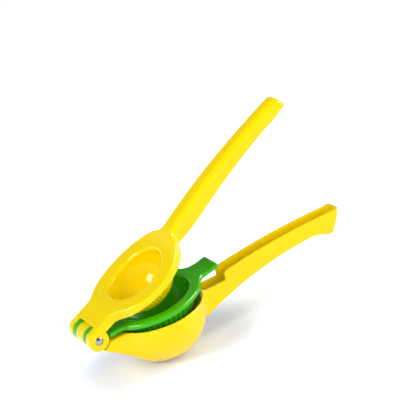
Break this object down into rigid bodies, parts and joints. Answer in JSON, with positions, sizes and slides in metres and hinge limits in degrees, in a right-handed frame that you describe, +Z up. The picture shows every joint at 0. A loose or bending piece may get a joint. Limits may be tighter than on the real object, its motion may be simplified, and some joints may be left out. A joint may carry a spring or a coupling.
{
  "type": "hinged citrus press",
  "caption": "Hand citrus press: a bowl arm, a ribbed cup insert and a domed pressing arm fold together on a common hinge pin.",
  "frame": {"origin": "middle of the flat under the bowl, on which the press stands", "axes": "+X along the handles from the hinge towards the handle tips, +Y along the hinge pin, +Z up, away from the resting flat"},
  "size_m": [0.2168, 0.0746, 0.1468],
  "materials": {
    "yellow_enamel": "gloss",
    "green_enamel": "gloss",
    "pin_steel": "polished"
  },
  "bodies": {
    "lower_arm": {"lower_arm": "yellow_enamel"},
    "lime_insert": {"lime_insert": "green_enamel"},
    "upper_arm": {"upper_arm": "yellow_enamel", "hinge_pin": "pin_steel"}
  },
  "joints": [
    {"name": "insert_hinge", "type": "hinge", "parent": "lower_arm", "child": "lime_insert", "pos_m": [-0.052, 0, 0.0414], "axis": [0, -1, 0], "range_deg": [-5, 60]},
    {"name": "arm_hinge", "type": "hinge", "parent": "lime_insert", "child": "upper_arm", "pos_m": [-0.052, 0, 0.0414], "axis": [0, -1, 0], "range_deg": [-18.6, 90]}
  ]
}
